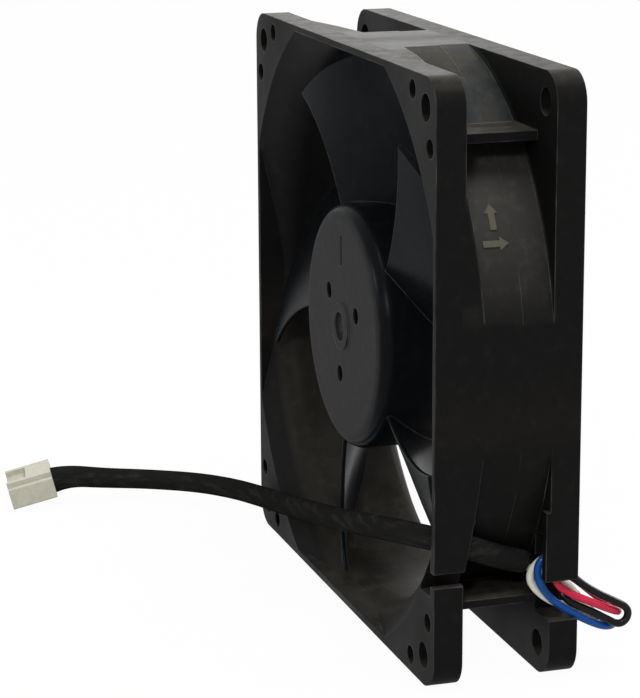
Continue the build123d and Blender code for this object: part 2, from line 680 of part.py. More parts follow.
def save(solid, node):
    if isinstance(solid, (list, ShapeList)):
        solid = Compound(list(solid))
    export_step(solid, "parts/" + node + ".step")


def main():
    os.makedirs("parts", exist_ok=True)
    save(upright(frame_housing()), "frame_housing")
    save(upright(bearing_tube()), "bearing_tube")
    for name, depth in (("front", FRONT_BEARING_DEPTH), ("rear", REAR_BEARING_DEPTH)):
        outer, inner, cage = bearing(depth)
        save(upright(outer), name + "_bearing_outer_race")
        save(upright(inner), name + "_bearing_inner_race")
        save(upright(cage), name + "_bearing_ball_cage")
    save(upright(impeller()), "impeller")
    save(upright(rotor_cup()), "rotor_cup")
    save(upright(magnet_ring()), "magnet_ring")
    save(upright(shaft_bush()), "shaft_bush")
    save(upright(shaft()), "shaft")
    save(upright(retaining_clip()), "retaining_clip")
    save(upright(preload_spring()), "preload_spring")
    save(upright(stator_core()), "stator_core")
    core_top = at_depth(STATOR_TOP_DEPTH)
    save(upright(insulator(core_top)), "front_insulator")
    save(upright(insulator(core_top - LAMINATION_T - INSULATOR_T)), "rear_insulator")
    for index in range(POLE_COUNT):
        save(upright(stator_coil(index)), "stator_coil_" + str(index + 1))
    save(upright(circuit_board()), "circuit_board")
    save(upright(solder_joints()), "solder_joints")
    chip = Box(CHIP_L, CHIP_W, CHIP_T)
    save(upright(board_part(CHIP_RING_R, CHIP_ANGLE, 20, chip, CHIP_T)), "driver_chip")
    sensor = Box(SENSOR_L, SENSOR_W, SENSOR_T)
    sensor = board_part(SENSOR_RING_R, SENSOR_ANGLE, SENSOR_ANGLE - 90, sensor, SENSOR_T)
    save(upright(sensor), "position_sensor")
    capacitor = Cylinder(CAPACITOR_R, CAPACITOR_T)
    save(upright(board_part(CAPACITOR_RING_R, CAPACITOR_ANGLE, 0, capacitor, CAPACITOR_T)), "capacitor")
    save(cord(BLUE_ROUTE, WIRE_D, "blue"), "lead_blue")
    save(cord(WHITE_ROUTE, WIRE_D, "white"), "lead_white")
    save(cord(RED_ROUTE, WIRE_D, "red"), "lead_red")
    save(cord(BLACK_ROUTE, WIRE_D, "black"), "lead_black")
    save(cord(SLEEVE_ROUTE, SLEEVE_D, "sleeve"), "cable_sleeve")
    save(connector_housing(), "connector_housing")
    save(connector_contacts(), "connector_contacts")


main()
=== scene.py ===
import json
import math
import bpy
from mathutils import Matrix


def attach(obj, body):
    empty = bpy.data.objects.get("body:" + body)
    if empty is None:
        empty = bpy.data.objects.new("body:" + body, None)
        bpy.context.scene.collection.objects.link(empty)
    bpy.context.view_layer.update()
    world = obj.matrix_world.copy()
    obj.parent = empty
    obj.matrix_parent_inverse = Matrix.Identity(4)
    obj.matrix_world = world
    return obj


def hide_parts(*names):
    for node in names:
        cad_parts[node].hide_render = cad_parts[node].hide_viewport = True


bl_info = {
    "name": "Axial cooling fan",
    "version": (1, 0, 0),
    "blender": (4, 5, 0),
    "location": "View3D > Sidebar > Fan",
    "description": "Finishes a square axial cooling fan: moulded plastics, motor, leads, sleeve and plug",
    "category": "Object",
}

import bpy
from mathutils import Matrix, Vector

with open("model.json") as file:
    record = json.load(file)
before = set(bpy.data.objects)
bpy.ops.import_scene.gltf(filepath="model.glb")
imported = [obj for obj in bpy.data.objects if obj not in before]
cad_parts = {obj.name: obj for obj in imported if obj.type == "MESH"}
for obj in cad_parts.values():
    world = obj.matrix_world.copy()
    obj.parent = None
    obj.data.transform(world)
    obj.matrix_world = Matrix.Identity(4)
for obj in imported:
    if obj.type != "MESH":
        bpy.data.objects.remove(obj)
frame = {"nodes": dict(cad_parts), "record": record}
NODES = frame["nodes"]
SLOT_OF = {part["node"]: part["material_slot"] for part in frame["record"]["subparts"]}
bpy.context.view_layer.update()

# Routes of the leads and the sleeve: control points of one spline each, in metres
BLUE_ROUTE = (
    (0.01506, 0.01020, 0.04126), (0.02491, 0.01020, 0.03513), (0.03493, 0.01020, 0.02853),
    (0.04391, 0.01020, 0.02288), (0.04710, 0.00950, 0.02120), (0.04720, 0.00680, 0.02000),
    (0.04740, 0.00620, 0.01740), (0.04790, 0.00780, 0.01410), (0.04860, 0.01120, 0.01130),
    (0.04875, 0.01500, 0.00910), (0.04800, 0.01820, 0.00750), (0.04660, 0.02060, 0.00710),
    (0.04430, 0.02030, 0.00700), (0.04240, 0.01790, 0.00850), (0.04208, 0.01398, 0.01361),
    (0.04179, 0.00894, 0.01665), (0.04259, 0.00505, 0.01802),
)
WHITE_ROUTE = (
    (0.01429, 0.01020, 0.04004), (0.02414, 0.01020, 0.03391), (0.03416, 0.01020, 0.02731),
    (0.04313, 0.01020, 0.02167), (0.04570, 0.00930, 0.02040), (0.04580, 0.00660, 0.01890),
    (0.04590, 0.00540, 0.01670), (0.04640, 0.00660, 0.01450), (0.04690, 0.00960, 0.01220),
    (0.04690, 0.01360, 0.01090), (0.04710, 0.01530, 0.01015), (0.04720, 0.01730, 0.00900),
    (0.04550, 0.01830, 0.00840), (0.04380, 0.01730, 0.00900), (0.04370, 0.01540, 0.01090),
    (0.04342, 0.01400, 0.01373), (0.04313, 0.00907, 0.01670), (0.04390, 0.00532, 0.01802),
)
RED_ROUTE = (
    (0.01405, 0.01160, 0.04190), (0.02491, 0.01160, 0.03513), (0.03493, 0.01160, 0.02853),
    (0.04391, 0.01160, 0.02288), (0.04670, 0.01110, 0.02100), (0.04720, 0.00960, 0.01830),
    (0.04800, 0.00930, 0.01590), (0.04890, 0.01190, 0.01410), (0.04920, 0.01520, 0.01255),
    (0.04870, 0.01820, 0.01100), (0.04800, 0.02050, 0.00990), (0.04640, 0.02140, 0.00930),
    (0.04480, 0.02040, 0.00980), (0.04340, 0.01830, 0.01160), (0.04198, 0.01480, 0.01467),
    (0.04168, 0.00951, 0.01786), (0.04250, 0.00548, 0.01928),
)
BLACK_ROUTE = (
    (0.01328, 0.01160, 0.04069), (0.02414, 0.01160, 0.03391), (0.03416, 0.01160, 0.02731),
    (0.04313, 0.01160, 0.02167), (0.04530, 0.01160, 0.01990), (0.04700, 0.01170, 0.01800),
    (0.04820, 0.01320, 0.01600), (0.04880, 0.01640, 0.01380), (0.04880, 0.01930, 0.01225),
    (0.04860, 0.02215, 0.01060), (0.04850, 0.02215, 0.00865), (0.04860, 0.02050, 0.00775),
    (0.04860, 0.01800, 0.00925), (0.04870, 0.01520, 0.01095), (0.04850, 0.01220, 0.01235),
    (0.04700, 0.01030, 0.01410), (0.04520, 0.01080, 0.01590), (0.04350, 0.01020, 0.01770),
    (0.04340, 0.00780, 0.01890), (0.04381, 0.00575, 0.01928),
)
SLEEVE_ROUTE = (
    (0.04320, 0.00540, 0.01865), (0.04410, 0.00100, 0.02020), (0.04575, -0.00360, 0.02240),
    (0.04635, -0.00800, 0.02420), (0.04540, -0.01180, 0.02520), (0.03850, -0.01430, 0.02440),
    (0.02600, -0.01520, 0.02170), (0.01000, -0.01560, 0.01800), (-0.00700, -0.01550, 0.01430),
    (-0.02400, -0.01540, 0.01070), (-0.04000, -0.01550, 0.00760), (-0.05300, -0.01740, 0.00560),
    (-0.06250, -0.02230, 0.00460), (-0.06920, -0.03100, 0.00420), (-0.07140, -0.03950, 0.00460),
    (-0.07175, -0.04670, 0.00565), (-0.07220, -0.04960, 0.00490),
)
LEADS = {
    "lead_blue": BLUE_ROUTE, "lead_white": WHITE_ROUTE, "lead_red": RED_ROUTE, "lead_black": BLACK_ROUTE,
}
# The sleeve opens towards the plug: how much wider its last control points are
SLEEVE_FLARE = (1.03, 1.12, 1.3)
# Steps of a cord's line between control points, and of its round section
LINE_STEPS = 12
SECTION_STEPS = 5

# Stage: places and sizes in metres, powers in watts
FLOOR_DROP = -0.0002
FLOOR_GREY = (0.7, 0.7, 0.7, 1.0)
FLOOR_ROUGHNESS = 0.9
FLOOR_SPECULAR = 0.1
FLOOR_GLOW = 0.97
WORLD_WHITE = (1.0, 1.0, 1.0, 1.0)
WORLD_STRENGTH = 0.22
LAMP_AIM = (0.0, 0.0, 0.05)
LAMPS = (
    # name, place, size, power
    ("top_lamp", (0.30, 0.10, 1.10), 0.7, 11.0),
    ("front_lamp", (-0.12, -1.00, 0.42), 0.16, 2.5),
    ("rear_lamp", (-1.00, 0.25, 0.40), 0.4, 1.1),
    ("side_lamp", (0.85, -0.42, 0.60), 0.12, 3.2),
    ("back_lamp", (-0.35, 1.00, 0.55), 0.3, 3.0),
)

# Camera: place in metres, angles in degrees, lens and sensor in millimetres
CAMERA_PLACE = (0.42022, -0.14679, 0.15469)
CAMERA_YAW = 72.688
CAMERA_PITCH = 13.8425
CAMERA_ROLL = -0.2995
CAMERA_LENS = 133.46
CAMERA_SENSOR = 36.0
CAMERA_NEAR = 0.02

# Where the frame's finishes start and end, in metres. Reach is the distance from the shaft's axis,
# depth is along the shaft, and height is above the floor.
SHAFT_HEIGHT = 0.05
DUCT_INNER_REACH = (0.0500, 0.0503)
DUCT_OUTER_REACH = (0.0515, 0.0521)
DUCT_FRONT_DEPTH = (-0.0080, -0.0078)
DUCT_REAR_DEPTH = (0.0078, 0.0080)
# Height over which the painted light on the duct's upper wall comes in
DUCT_LIT_HEIGHT = (0.060, 0.076)
# Height above which the painted shade under the upper rib darkens the duct
COOL_SHADE_HEIGHT = (0.084, 0.088)
# Reach and height of the painted warm light low on the bore
LIT_BORE_INNER_REACH = (0.0472, 0.0478)
LIT_BORE_OUTER_REACH = (0.0496, 0.0512)
LIT_BORE_HEIGHT = (0.030, 0.052)
# Where the painted highlight on the arrow tops lies
ARROW_INNER_REACH = (0.05122, 0.05132)
ARROW_OUTER_REACH = (0.0515, 0.0516)
ARROW_SIDE = (0.0485, 0.0490)
ARROW_FRONT_DEPTH = (-0.0070, -0.0068)
ARROW_REAR_DEPTH = (0.0068, 0.0070)
# The same for the impeller's hub
HUB_FACE_DEPTH = (-0.01175, -0.0114)
HUB_RING_REACH = (0.0043, 0.0045)
# How far up a surface faces where dust settles and painted light falls on it
DUSTY_AND_LIT_FACING = (0.55, 0.95)
# Cosine between flat and bevelled normal, from a sharp edge to a flat face
EDGE_COSINE = (0.80, 0.97)
PALE_EDGE_WIDTH = 0.00035
BEVEL_SAMPLES = 6

# Finishes of such areas: colour and roughness. The colours of the duct's upper wall, its top, the bore and
# the arrows are painted light and shade; those of the tops and the edges are partly dust and wear, partly
# painted light; the hub face's is partly painted sheen.
# Painted light: the duct's upper outer wall, paler and warmer where light falls on it
DUCT_LIT_FINISH = ((0.034, 0.033, 0.0305), 0.36)
# Painted shade: darker, bluer colour high on the duct, under the upper rib
COOL_SHADE_FINISH = ((0.015, 0.020, 0.0225), 0.36)
# Painted light: warm light on the low part of the bore
LIT_BORE_FINISH = ((0.0165, 0.0145, 0.0120), 0.42)
# Partly fine dust, partly painted light on surfaces that face up
DUST_AND_LIGHT_FINISH = ((0.040, 0.037, 0.031), 0.45)
# Painted highlight on the arrow tops
ARROW_HIGHLIGHT_FINISH = ((0.085, 0.078, 0.060), 0.5)
# Partly edge wear, partly painted highlight on the edges
EDGE_WEAR_AND_HIGHLIGHT_FINISH = ((0.085, 0.085, 0.083), 0.3)
# Paler hub face: partly painted sheen
HUB_FACE_FINISH = ((0.0215, 0.0215, 0.0215), 0.6)

# Patterns: noise with its scale per metre
FRAME_GRAIN = {"scale": 2600.0, "detail": 2.0}
IMPELLER_GRAIN = {"scale": 3200.0, "detail": 2.0}
CLOUDS = {"scale": 55.0, "detail": 4.0}
DUST = {"scale": 420.0, "detail": 5.0, "rough": 0.65}
FLOW = {"scale": 900.0, "detail": 3.0}
SCUFFS = {"scale": 1000.0, "detail": 5.0, "stretch": (0.12, 0.25, 1.0), "rough": 0.65}
METAL_LINES = {"scale": 1800.0, "detail": 4.0}
PALE_EDGE_PATCHES = {"scale": 130.0, "detail": 4.0, "rough": 0.6}
SETTLED = {"scale": 260.0, "detail": 5.0, "rough": 0.7}
# Noise values between which each pattern comes in
MIDDLE_SPAN = (0.3, 0.7)
DUST_SPAN = (0.52, 0.78)
FLOW_SPAN = (0.35, 0.7)
SCUFF_SPAN = (0.50, 0.75)
PALE_EDGE_SPAN = (0.40, 0.62)
SETTLED_SPAN = (0.38, 0.62)
# Least share of a patchy finish, in the clean places between its patches
PALE_EDGE_LEAST = 0.15
SETTLED_LEAST = 0.35
# Bump of each pattern: strength and height in metres
GRAIN_BUMP = (0.22, 0.00005)
FLOW_BUMP = (0.12, 0.00004)
SCUFF_BUMP = (0.5, 0.00012)
LINE_BUMP = (0.15, 0.00003)
# How much brighter or darker than its colour a finish is where its pattern is strongest
DUSTED_SHARE = 1.6
FLOW_SHARE = 0.86
SCUFF_SHARE = 2.3
LINE_SHARE = 0.82
# How much smoother and rougher a finish is in its patches
CLOUD_SMOOTHER = 0.06
CLOUD_ROUGHER = 0.08
LINE_SMOOTHER = 0.05
LINE_ROUGHER = 0.1

# Roughness and specular level of the outer plastics
FRAME_ROUGHNESS = 0.5
IMPELLER_ROUGHNESS = 0.26
MOULDING_SPECULAR = 0.035
SLEEVE_ROUGHNESS = 0.6
SLEEVE_SPECULAR = 0.0
PLUG_ROUGHNESS = 0.42
LEAD_ROUGHNESS = 0.16
LEAD_SPECULAR = 0.14

# Metals: colour, roughness and how the lines are drawn out along X, Y and Z
CONTACT_TIN = ((0.72, 0.71, 0.68), 0.3, (1.0, 0.2, 1.0))
MOTOR_METALS = {
    "ground_steel": ((0.60, 0.60, 0.61), 0.24, (1.0, 0.15, 1.0)),
    "drawn_steel": ((0.34, 0.34, 0.35), 0.38, (1.0, 0.15, 1.0)),
    "stacked_steel": ((0.24, 0.24, 0.25), 0.45, (0.1, 1.0, 0.1)),
    "turned_brass": ((0.70, 0.50, 0.22), 0.28, (0.2, 1.0, 0.2)),
    "solder": ((0.62, 0.62, 0.63), 0.3, (1.0, 1.0, 1.0)),
}
# Moulded and coated pieces of the motor: colour, roughness and coat
MOTOR_PLASTICS = {
    "white_nylon": ((0.70, 0.69, 0.64), 0.45, 0.0),
    "enamelled_copper": ((0.50, 0.19, 0.06), 0.25, 0.6),
    "board_green": ((0.015, 0.11, 0.045), 0.3, 0.3),
    "chip_epoxy": ((0.018, 0.018, 0.02), 0.5, 0.0),
    "ferrite": ((0.05, 0.046, 0.043), 0.6, 0.0),
}
# The finish of each material slot of the motor
MOTOR_FINISHES = {
    "bearing_steel": "ground_steel", "shaft_steel": "ground_steel", "capacitor": "ground_steel",
    "cup_steel": "drawn_steel", "lamination": "stacked_steel", "brass": "turned_brass",
    "solder": "solder", "insulator": "white_nylon", "enamel_wire": "enamelled_copper",
    "board": "board_green", "chip": "chip_epoxy", "magnet": "ferrite",
}

# Sockets of a node that mixes, for numbers and for colours
MIX_NUMBERS_IN = (2, 3)
MIX_NUMBER_OUT = 0
MIX_COLOURS_IN = (6, 7)
MIX_COLOUR_OUT = 2


class FanSizes(bpy.types.PropertyGroup):
    """Sizes of the cords, the soft edges and the floor"""

    lead_diameter: bpy.props.FloatProperty(
        name="Lead diameter", description="Outside of one insulated lead",
        default=0.0013, min=0.0008, max=0.002, precision=5, unit="LENGTH",
    )
    sleeve_diameter: bpy.props.FloatProperty(
        name="Sleeve diameter", description="Outside of the sleeve round the leads",
        default=0.0040, min=0.003, max=0.006, precision=5, unit="LENGTH",
    )
    edge_softness: bpy.props.FloatProperty(
        name="Edge softness", description="Radius that the light sees on moulded edges",
        default=0.00025, min=0.0, max=0.001, precision=5, unit="LENGTH",
    )
    floor_size: bpy.props.FloatProperty(
        name="Floor size", description="Width of the pale floor",
        default=6.0, min=1.0, max=20.0, unit="LENGTH",
    )


class FanColours(bpy.types.PropertyGroup):
    """Colours of the fan's finishes"""

    frame_plastic: bpy.props.FloatVectorProperty(
        name="Frame plastic", description="Moulded plastic of the frame",
        default=(0.0065, 0.0064, 0.0062), size=3, min=0.0, max=1.0, subtype="COLOR",
    )
    impeller_plastic: bpy.props.FloatVectorProperty(
        name="Impeller plastic", description="Moulded plastic of the hub and blades",
        default=(0.0044, 0.0053, 0.0063), size=3, min=0.0, max=1.0, subtype="COLOR",
    )
    lead_blue: bpy.props.FloatVectorProperty(
        name="Blue lead", description="Insulation of the blue lead",
        default=(0.004, 0.060, 0.26), size=3, min=0.0, max=1.0, subtype="COLOR",
    )
    lead_white: bpy.props.FloatVectorProperty(
        name="White lead", description="Insulation of the off-white lead",
        default=(0.72, 0.70, 0.60), size=3, min=0.0, max=1.0, subtype="COLOR",
    )
    lead_red: bpy.props.FloatVectorProperty(
        name="Red lead", description="Insulation of the red lead",
        default=(0.56, 0.020, 0.06), size=3, min=0.0, max=1.0, subtype="COLOR",
    )
    lead_black: bpy.props.FloatVectorProperty(
        name="Black lead", description="Insulation of the black lead",
        default=(0.0050, 0.0050, 0.0055), size=3, min=0.0, max=1.0, subtype="COLOR",
    )
    sleeve: bpy.props.FloatVectorProperty(
        name="Sleeve", description="Soft sleeve round the leads",
        default=(0.0125, 0.0125, 0.0120), size=3, min=0.0, max=1.0, subtype="COLOR",
    )
    plug: bpy.props.FloatVectorProperty(
        name="Plug", description="Moulded nylon of the plug",
        default=(0.48, 0.465, 0.375), size=3, min=0.0, max=1.0, subtype="COLOR",
    )


class Shader:
    """One node material, built a node at a time"""

    def __init__(self, name, roughness, metallic=0.0):
        self.material = bpy.data.materials.new(name)
        self.material.use_nodes = True
        self.nodes = self.material.node_tree.nodes
        self.links = self.material.node_tree.links
        self.bsdf = self.nodes["Principled BSDF"]
        self.bsdf.inputs["Roughness"].default_value = roughness
        self.bsdf.inputs["Metallic"].default_value = metallic
        self.place = self.nodes.new("ShaderNodeTexCoord").outputs["Object"]
        self.normal = None

    def noise(self, scale, detail, stretch=(1.0, 1.0, 1.0), rough=0.5):
        """Cloudy pattern fixed to the piece, from 0 to 1"""
        mapping = self.nodes.new("ShaderNodeMapping")
        mapping.inputs["Scale"].default_value = stretch
        texture = self.nodes.new("ShaderNodeTexNoise")
        texture.inputs["Scale"].default_value = scale
        texture.inputs["Detail"].default_value = detail
        texture.inputs["Roughness"].default_value = rough
        self.links.new(self.place, mapping.inputs["Vector"])
        self.links.new(mapping.outputs["Vector"], texture.inputs["Vector"])
        return texture.outputs["Fac"]

    def ramp(self, factor, first, second, span):
        """Number that goes from the first to the second while the factor crosses the span"""
        ramp = self.nodes.new("ShaderNodeMapRange")
        ramp.inputs["From Min"].default_value, ramp.inputs["From Max"].default_value = span
        ramp.inputs["To Min"].default_value = first
        ramp.inputs["To Max"].default_value = second
        self.links.new(factor, ramp.inputs["Value"])
        return ramp.outputs["Result"]

    def after(self, factor, span):
        """Share that rises from 0 to 1 across the span"""
        return self.ramp(factor, 0.0, 1.0, span)

    def before(self, factor, span):
        """Share that falls from 1 to 0 across the span"""
        return self.ramp(factor, 1.0, 0.0, span)

    def blend(self, factor, first, second):
        """Colour that goes from the first to the second as the factor goes from 0 to 1"""
        mix = self.nodes.new("ShaderNodeMix")
        mix.data_type = "RGBA"
        for index, colour in zip(MIX_COLOURS_IN, (first, second)):
            if isinstance(colour, bpy.types.NodeSocket):
                self.links.new(colour, mix.inputs[index])
            else:
                mix.inputs[index].default_value = (*colour, 1.0)
        self.links.new(factor, mix.inputs[0])
        return mix.outputs[MIX_COLOUR_OUT]

    def shift(self, factor, first, second):
        """Number that goes from the first socket's to the second as the factor goes from 0 to 1"""
        mix = self.nodes.new("ShaderNodeMix")
        mix.data_type = "FLOAT"
        start, end = MIX_NUMBERS_IN
        self.links.new(factor, mix.inputs[0])
        self.links.new(first, mix.inputs[start])
        mix.inputs[end].default_value = second
        return mix.outputs[MIX_NUMBER_OUT]

    def colour(self, socket):
        self.links.new(socket, self.bsdf.inputs["Base Color"])

    def roughness(self, socket):
        self.links.new(socket, self.bsdf.inputs["Roughness"])

    def axis(self, name):
        """How far along X, Y or Z a point lies, in metres"""
        split = self.nodes.new("ShaderNodeSeparateXYZ")
        self.links.new(self.place, split.inputs[0])
        return split.outputs[name]

    def from_shaft(self):
        """Distance of a point from the shaft's axis, in metres"""
        flat = self.nodes.new("ShaderNodeVectorMath")
        flat.operation = "MULTIPLY_ADD"
        flat.inputs[1].default_value = (1.0, 0.0, 1.0)
        flat.inputs[2].default_value = (0.0, 0.0, -SHAFT_HEIGHT)
        self.links.new(self.place, flat.inputs[0])
        length = self.nodes.new("ShaderNodeVectorMath")
        length.operation = "LENGTH"
        self.links.new(flat.outputs[0], length.inputs[0])
        return length.outputs["Value"]

    def facing(self, name):
        """How far the surface faces along X, Y or Z of the resting fan"""
        split = self.nodes.new("ShaderNodeSeparateXYZ")
        self.links.new(self.nodes.new("ShaderNodeTexCoord").outputs["Normal"], split.inputs[0])
        return split.outputs[name]

    def join(self, operation, shares):
        """One share made of several, two at a time"""
        total = shares[0]
        for share in shares[1:]:
            node = self.nodes.new("ShaderNodeMath")
            node.operation = operation
            self.links.new(total, node.inputs[0])
            self.links.new(share, node.inputs[1])
            total = node.outputs[0]
        return total

    def all_of(self, *shares):
        """Product of shares"""
        return self.join("MULTIPLY", shares)

    def any_of(self, *shares):
        """Largest of shares"""
        return self.join("MAXIMUM", shares)

    def bump(self, height, strength, distance):
        """Raises the surface by a pattern, on top of what is there"""
        node = self.nodes.new("ShaderNodeBump")
        node.inputs["Strength"].default_value = strength
        node.inputs["Distance"].default_value = distance
        self.links.new(height, node.inputs["Height"])
        if self.normal:
            self.links.new(self.normal, node.inputs["Normal"])
        self.normal = node.outputs["Normal"]
        self.links.new(self.normal, self.bsdf.inputs["Normal"])

    def rounded_normal(self, radius):
        """Normal of the surface with its edges rounded"""
        node = self.nodes.new("ShaderNodeBevel")
        node.samples = BEVEL_SAMPLES
        node.inputs["Radius"].default_value = radius
        return node.outputs["Normal"]

    def soft_edges(self, radius):
        """Lets light see the edges as rounded"""
        self.normal = self.rounded_normal(radius)
        self.links.new(self.normal, self.bsdf.inputs["Normal"])

    def on_edges(self, radius):
        """1 on outer and inner edges, where the rounded normal leaves the flat one"""
        dot = self.nodes.new("ShaderNodeVectorMath")
        dot.operation = "DOT_PRODUCT"
        self.links.new(self.rounded_normal(radius), dot.inputs[0])
        self.links.new(self.nodes.new("ShaderNodeNewGeometry").outputs["Normal"], dot.inputs[1])
        return self.before(dot.outputs["Value"], EDGE_COSINE)


def scaled(colour, share):
    """The colour, brighter or darker by a share"""
    return tuple(min(1.0, channel * share) for channel in colour)


def moulded_plastic(name, colour, roughness, softness, grain, areas):
    """Black moulding: fine spark-eroded grain, cloudy gloss and dust.

    areas are further finishes, several of them painted light and shade: functions that give their share at
    each point, colour and roughness.
    """
    shader = Shader(name, roughness)
    shader.bsdf.inputs["Specular IOR Level"].default_value = MOULDING_SPECULAR
    if softness > 0:
        shader.soft_edges(softness)
    shader.bump(shader.noise(**grain), *GRAIN_BUMP)
    clouds = shader.noise(**CLOUDS)
    gloss = shader.ramp(clouds, roughness - CLOUD_SMOOTHER, roughness + CLOUD_ROUGHER, MIDDLE_SPAN)
    dusted = shader.after(shader.noise(**DUST), DUST_SPAN)
    tint = shader.blend(dusted, colour, scaled(colour, DUSTED_SHARE))
    for area in areas:
        share, area_colour, area_roughness = area(shader)
        area_tint = shader.blend(dusted, area_colour, scaled(area_colour, DUSTED_SHARE))
        tint = shader.blend(share, tint, area_tint)
        gloss = shader.shift(share, gloss, area_roughness)
    shader.roughness(gloss)
    shader.colour(tint)
    return shader.material


def smooth_plastic(name, colour, roughness, coat=0.0, specular=0.5):
    """Insulation, nylon, enamel or moulded epoxy: even colour with faint flow marks"""
    shader = Shader(name, roughness)
    shader.bsdf.inputs["Specular IOR Level"].default_value = specular
    shader.bsdf.inputs["Coat Weight"].default_value = coat
    flow = shader.noise(**FLOW)
    shader.colour(shader.blend(shader.after(flow, FLOW_SPAN), colour, scaled(colour, FLOW_SHARE)))
    shader.bump(flow, *FLOW_BUMP)
    return shader.material


def scuffed_sleeve(name, colour):
    """Soft matt tube with pale scuffs drawn out along it"""
    shader = Shader(name, SLEEVE_ROUGHNESS)
    shader.bsdf.inputs["Specular IOR Level"].default_value = SLEEVE_SPECULAR
    scuffs = shader.noise(**SCUFFS)
    shader.colour(shader.blend(shader.after(scuffs, SCUFF_SPAN), colour, scaled(colour, SCUFF_SHARE)))
    shader.bump(scuffs, *SCUFF_BUMP)
    return shader.material


def turned_metal(name, colour, roughness, stretch):
    """Drawn, ground or turned metal with fine lines along one direction"""
    shader = Shader(name, roughness, metallic=1.0)
    lines = shader.noise(stretch=stretch, **METAL_LINES)
    shader.colour(shader.blend(shader.after(lines, MIDDLE_SPAN), scaled(colour, LINE_SHARE), colour))
    shader.roughness(shader.ramp(lines, roughness - LINE_SMOOTHER, roughness + LINE_ROUGHER, MIDDLE_SPAN))
    shader.bump(lines, *LINE_BUMP)
    return shader.material


def finish_node(node, material):
    """Gives a node of the model its one material"""
    piece = NODES[node]
    piece.data.materials.clear()
    piece.data.materials.append(material)
    return piece


def cord_line(name, route):
    """One open spline with the route's points as its control points"""
    curve = bpy.data.curves.new(name, "CURVE")
    curve.dimensions = "3D"
    spline = curve.splines.new("NURBS")
    spline.points.add(len(route) - 1)
    for point, place in zip(spline.points, route):
        point.co = (*place, 1.0)
    spline.order_u = 3
    spline.use_endpoint_u = True
    spline.resolution_u = LINE_STEPS
    return curve


def line_length(curve):
    """Length of the spline's own line, without its thickness"""
    probe = bpy.data.objects.new("line_probe", curve.copy())
    bpy.context.scene.collection.objects.link(probe)
    bpy.context.view_layer.update()
    seen = probe.evaluated_get(bpy.context.evaluated_depsgraph_get())
    mesh = bpy.data.meshes.new_from_object(seen)
    total = sum((mesh.vertices[a].co - mesh.vertices[b].co).length
                for a, b in (edge.vertices for edge in mesh.edges))
    bpy.data.meshes.remove(mesh)
    spare = probe.data
    bpy.data.objects.remove(probe)
    bpy.data.curves.remove(spare)
    return total


def round_cord(name, route, diameter, material, node, flare=()):
    """A cord along its route, with its length; flare widens its last control points"""
    curve = cord_line(name, route)
    if flare:
        for point, share in zip(curve.splines[0].points[-len(flare):], flare):
            point.radius = share
    total = line_length(curve)
    curve.bevel_depth = diameter / 2
    curve.bevel_resolution = SECTION_STEPS
    curve.use_fill_caps = True
    curve.materials.append(material)
    piece = bpy.data.objects.new(name, curve)
    bpy.context.scene.collection.objects.link(piece)
    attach(piece, "frame")
    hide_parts(node)
    return piece, total


def add_floor(scene, half):
    """A flat square, just under the fan"""
    corners = [(-half, -half, 0), (half, -half, 0), (half, half, 0), (-half, half, 0)]
    mesh = bpy.data.meshes.new("floor")
    mesh.from_pydata(corners, [], [(0, 1, 2, 3)])
    mesh.materials.append(pale_floor())
    floor = bpy.data.objects.new("floor", mesh)
    floor.location.z = FLOOR_DROP
    scene.collection.objects.link(floor)


def add_lamp(scene, name, place, size, power):
    """A round soft lamp, turned towards the fan's foot"""
    lamp = bpy.data.lights.new(name, "AREA")
    lamp.shape = "DISK"
    lamp.size = size
    lamp.energy = power
    light = bpy.data.objects.new(name, lamp)
    light.location = place
    light.rotation_euler = (Vector(LAMP_AIM) - Vector(place)).to_track_quat("-Z", "Y").to_euler()
    scene.collection.objects.link(light)


def add_camera(scene):
    """The camera, turned by its yaw, pitch and roll"""
    yaw, pitch, roll = (math.radians(angle) for angle in (CAMERA_YAW, CAMERA_PITCH, CAMERA_ROLL))
    forward = Vector((
        -math.sin(yaw) * math.cos(pitch), math.cos(yaw) * math.cos(pitch), -math.sin(pitch),
    ))
    right = Vector((math.cos(yaw), math.sin(yaw), 0))
    up = right.cross(forward)
    turned_right = right * math.cos(roll) + up * math.sin(roll)
    turned_up = up * math.cos(roll) - right * math.sin(roll)
    data = bpy.data.cameras.new("camera")
    data.sensor_fit = "VERTICAL"
    data.sensor_height = CAMERA_SENSOR
    data.lens = CAMERA_LENS
    data.clip_start = CAMERA_NEAR
    camera = bpy.data.objects.new("camera", data)
    camera.matrix_world = Matrix((
        (turned_right.x, turned_up.x, -forward.x, CAMERA_PLACE[0]),
        (turned_right.y, turned_up.y, -forward.y, CAMERA_PLACE[1]),
        (turned_right.z, turned_up.z, -forward.z, CAMERA_PLACE[2]),
        (0, 0, 0, 1),
    ))
    scene.collection.objects.link(camera)
    scene.camera = camera


def seen_or_mirrored(nodes, links):
    """1 where the camera looks, straight or by way of gloss or glass"""
    path = nodes.new("ShaderNodeLightPath")
    total = path.outputs["Is Camera Ray"]
    for name in ("Is Glossy Ray", "Is Transmission Ray"):
        add = nodes.new("ShaderNodeMath")
        add.operation = "MAXIMUM"
        links.new(total, add.inputs[0])
        links.new(path.outputs[name], add.inputs[1])
        total = add.outputs[0]
    return total


